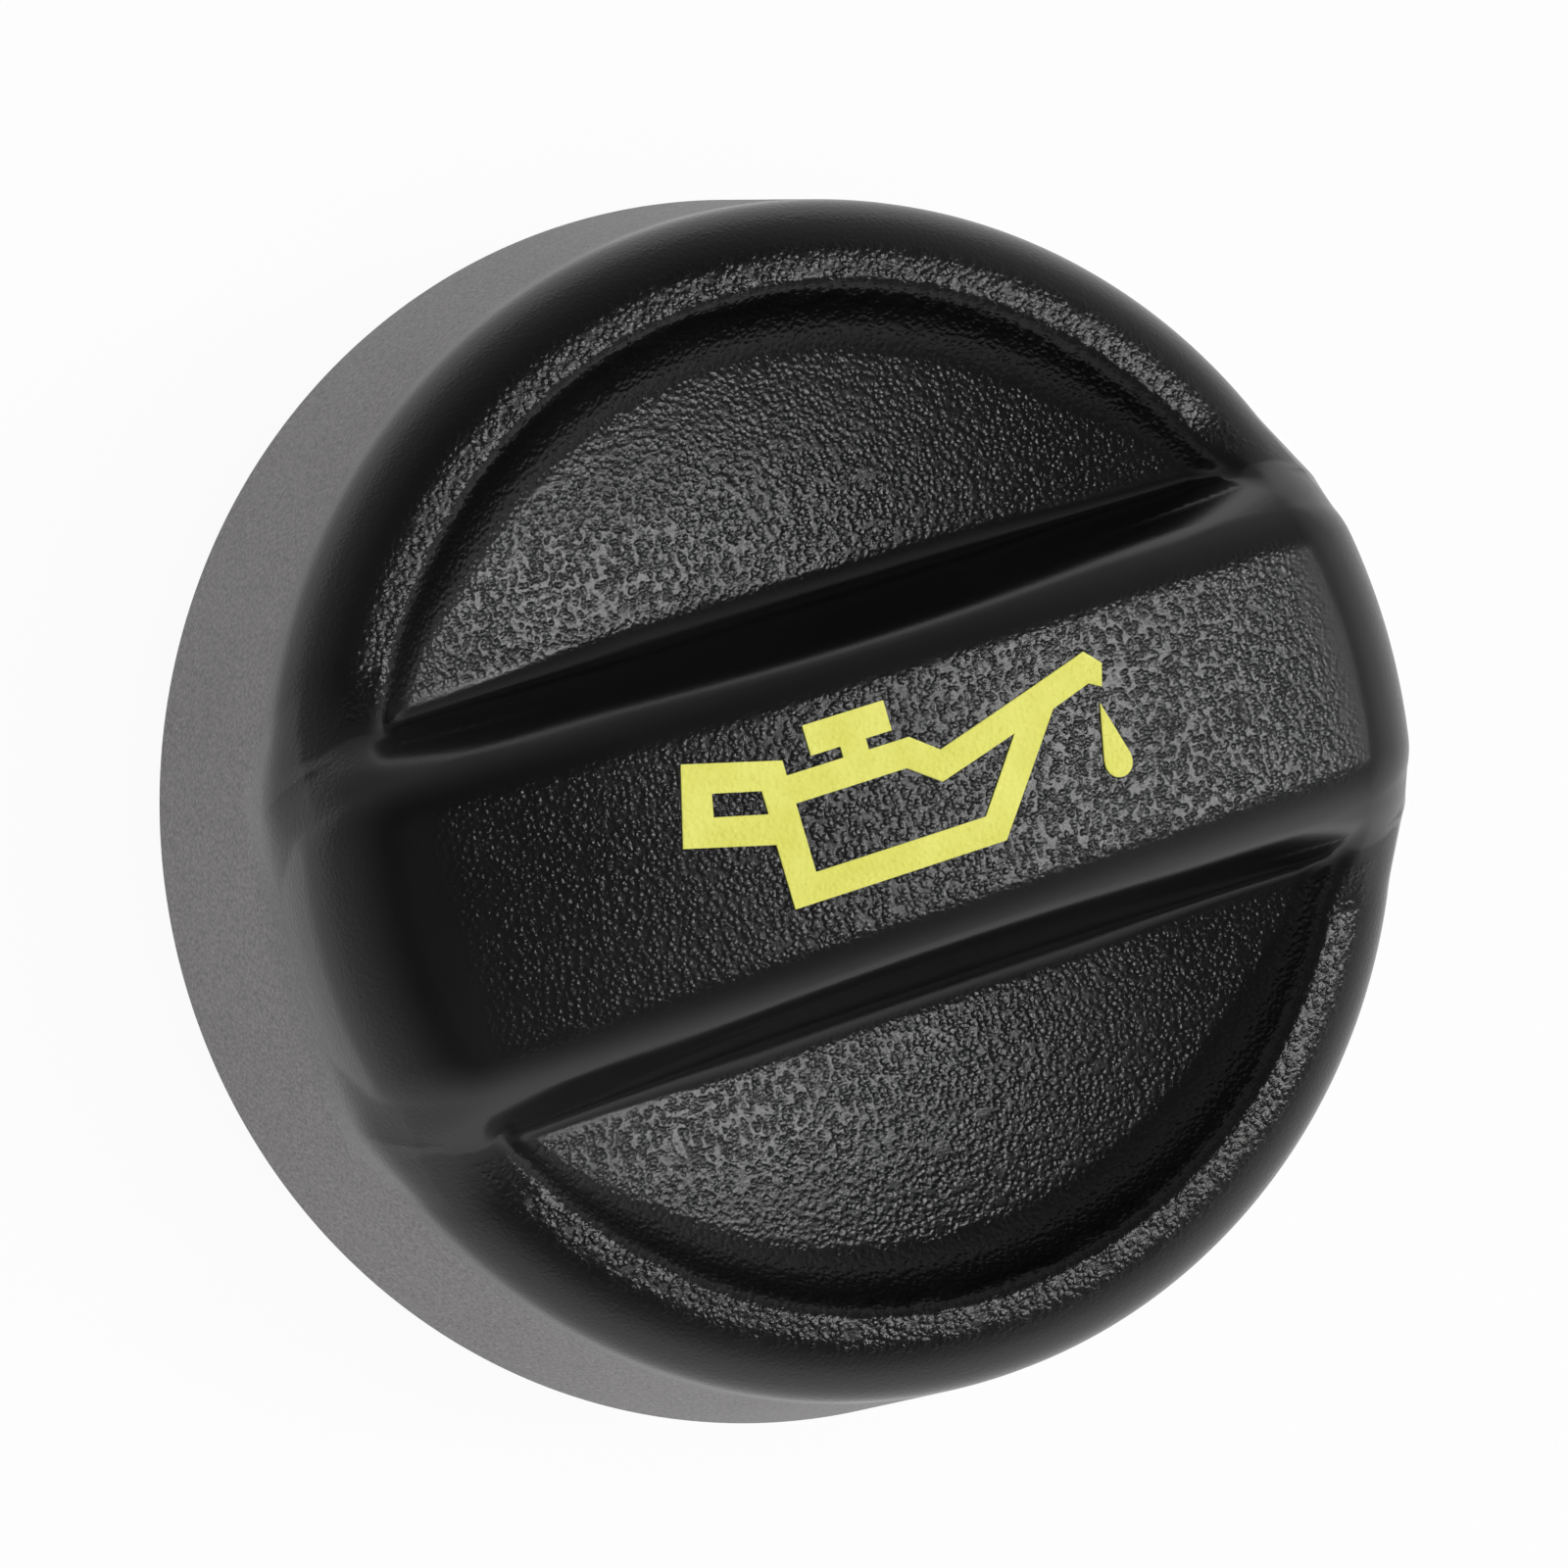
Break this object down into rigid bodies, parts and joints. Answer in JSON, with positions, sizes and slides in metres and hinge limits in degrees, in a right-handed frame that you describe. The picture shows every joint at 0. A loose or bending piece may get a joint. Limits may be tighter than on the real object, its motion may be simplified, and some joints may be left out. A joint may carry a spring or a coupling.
{
  "type": "oil filler cap",
  "caption": "Bayonet oil filler cap with a raised gripping bar between finger scoops, a seal ring and a printed oil can mark.",
  "frame": {"origin": "centre of the plug's lower end, on the cap's turning axis", "axes": "+Z along the turning axis from the plug to the gripping bar, X along the bar, +Y towards the top of the printed oil can"},
  "size_m": [0.064, 0.064, 0.0369],
  "materials": {
    "cap_plastic": "black glass-filled nylon, leather grain on the bar's top and the scoops, satin elsewhere",
    "seal_rubber": "moulded black nitrile rubber",
    "mark_ink": "yellow pad-printed ink, thin enough to follow the grain"
  },
  "bodies": {
    "root": {"cap_body": "cap_plastic", "seal_ring": "seal_rubber", "oil_can_mark": "mark_ink"}
  },
  "joints": []
}
